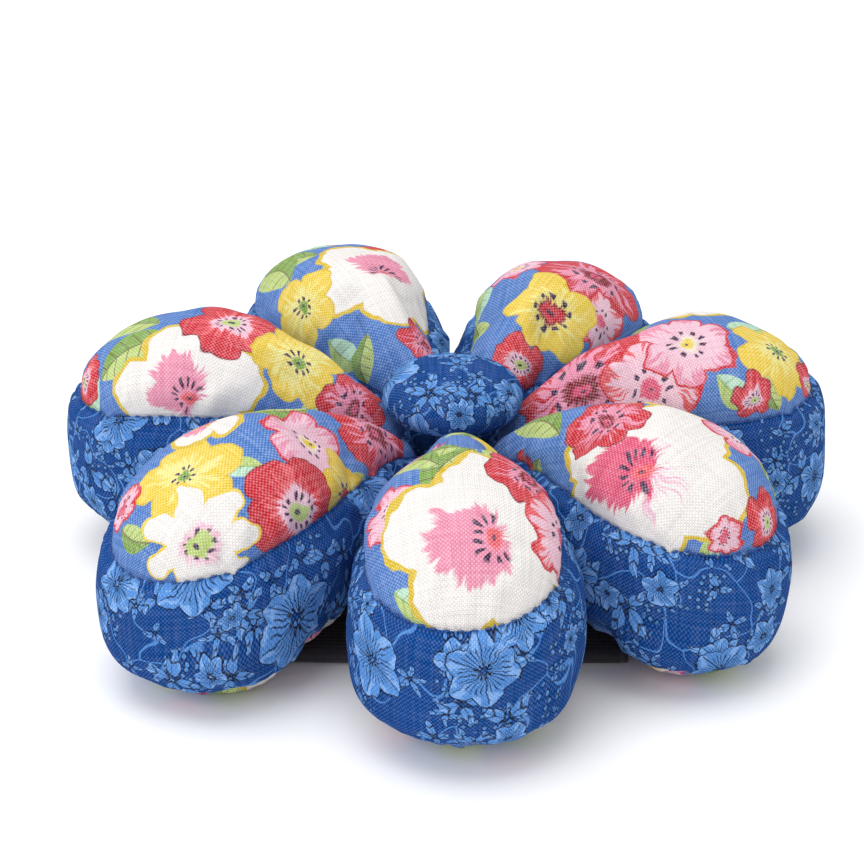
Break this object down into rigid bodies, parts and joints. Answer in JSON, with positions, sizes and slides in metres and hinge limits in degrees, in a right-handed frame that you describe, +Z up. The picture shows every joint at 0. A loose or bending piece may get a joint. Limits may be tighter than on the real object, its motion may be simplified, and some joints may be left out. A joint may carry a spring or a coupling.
{
  "type": "pin cushion",
  "caption": "Flower-shaped stuffed pin cushion: sewn cotton petals round a covered button, on a felt disc with an elastic wrist band.",
  "frame": {"origin": "on the surface that it stands on, under the button's axis", "axes": "+Z up along the button's axis; -Y towards petal 1, the front petal"},
  "size_m": [0.1135, 0.1122, 0.0335],
  "materials": {
    "floral_cotton": "plain-weave quilting cotton, printed with large flowers",
    "blue_cotton": "plain-weave quilting cotton, printed tone on tone",
    "fibre_filling": "loose polyester fibre",
    "sewing_thread": "matt spun thread",
    "tufting_thread": "waxed upholstery thread",
    "button_metal": "bare pressed sheet",
    "shank_wire": "bare wire",
    "black_felt": "pressed craft felt",
    "guard_sheet": "die-cut sheet",
    "black_elastic": "woven elastic with a ribbed face",
    "band_thread": "matt spun thread"
  },
  "bodies": {
    "core": {"tuft_knot": "tufting_thread", "tuft_thread": "tufting_thread", "gathering_thread": "tufting_thread", "felt_disc": "black_felt", "pin_guard": "guard_sheet", "band_upper_run": "black_elastic", "band_lower_run": "black_elastic", "band_front_fold": "black_elastic", "band_rear_fold": "black_elastic", "band_stitches": "band_thread"},
    "petal_1": {"petal_1_top_panel": "floral_cotton", "petal_1_side_panel": "blue_cotton", "petal_1_bottom_panel": "floral_cotton", "petal_1_filling": "fibre_filling", "petal_1_top_seam_thread": "sewing_thread", "petal_1_bottom_seam_thread": "sewing_thread"},
    "petal_2": {"petal_2_top_panel": "floral_cotton", "petal_2_side_panel": "blue_cotton", "petal_2_bottom_panel": "floral_cotton", "petal_2_filling": "fibre_filling", "petal_2_top_seam_thread": "sewing_thread", "petal_2_bottom_seam_thread": "sewing_thread"},
    "petal_3": {"petal_3_top_panel": "floral_cotton", "petal_3_side_panel": "blue_cotton", "petal_3_bottom_panel": "floral_cotton", "petal_3_filling": "fibre_filling", "petal_3_top_seam_thread": "sewing_thread", "petal_3_bottom_seam_thread": "sewing_thread"},
    "petal_4": {"petal_4_top_panel": "floral_cotton", "petal_4_side_panel": "blue_cotton", "petal_4_bottom_panel": "floral_cotton", "petal_4_filling": "fibre_filling", "petal_4_top_seam_thread": "sewing_thread", "petal_4_bottom_seam_thread": "sewing_thread"},
    "petal_5": {"petal_5_top_panel": "floral_cotton", "petal_5_side_panel": "blue_cotton", "petal_5_bottom_panel": "floral_cotton", "petal_5_filling": "fibre_filling", "petal_5_top_seam_thread": "sewing_thread", "petal_5_bottom_seam_thread": "sewing_thread"},
    "petal_6": {"petal_6_top_panel": "floral_cotton", "petal_6_side_panel": "blue_cotton", "petal_6_bottom_panel": "floral_cotton", "petal_6_filling": "fibre_filling", "petal_6_top_seam_thread": "sewing_thread", "petal_6_bottom_seam_thread": "sewing_thread"},
    "petal_7": {"petal_7_top_panel": "floral_cotton", "petal_7_side_panel": "blue_cotton", "petal_7_bottom_panel": "floral_cotton", "petal_7_filling": "fibre_filling", "petal_7_top_seam_thread": "sewing_thread", "petal_7_bottom_seam_thread": "sewing_thread"},
    "button": {"button_cover": "blue_cotton", "button_shell": "button_metal", "button_back_plate": "button_metal", "button_shank": "shank_wire"}
  },
  "joints": [
    {"name": "petal_1_lift", "type": "hinge", "parent": "core", "child": "petal_1", "pos_m": [0.00008, -0.0045, 0.014], "axis": [-0.9998, -0.0175, 0], "range_deg": [0, 5]},
    {"name": "petal_2_lift", "type": "hinge", "parent": "core", "child": "petal_2", "pos_m": [0.00347, -0.00286, 0.014], "axis": [-0.6361, -0.7716, 0], "range_deg": [0, 5]},
    {"name": "petal_3_lift", "type": "hinge", "parent": "core", "child": "petal_3", "pos_m": [0.00436, 0.00113, 0.014], "axis": [0.2504, -0.9681, 0], "range_deg": [0, 5]},
    {"name": "petal_4_lift", "type": "hinge", "parent": "core", "child": "petal_4", "pos_m": [0.0019, 0.00408, 0.014], "axis": [0.9063, -0.4226, 0], "range_deg": [0, 5]},
    {"name": "petal_5_lift", "type": "hinge", "parent": "core", "child": "petal_5", "pos_m": [-0.00187, 0.00409, 0.014], "axis": [0.91, 0.4147, 0], "range_deg": [0, 5]},
    {"name": "petal_6_lift", "type": "hinge", "parent": "core", "child": "petal_6", "pos_m": [-0.00439, 0.00101, 0.014], "axis": [0.225, 0.9744, 0], "range_deg": [0, 5]},
    {"name": "petal_7_lift", "type": "hinge", "parent": "core", "child": "petal_7", "pos_m": [-0.00337, -0.00298, 0.014], "axis": [-0.6626, 0.749, 0], "range_deg": [0, 5]},
    {"name": "button_turn", "type": "hinge", "parent": "core", "child": "button", "pos_m": [0, 0, 0.0272], "axis": [0, 0, 1], "range_deg": [-30, 30]}
  ]
}
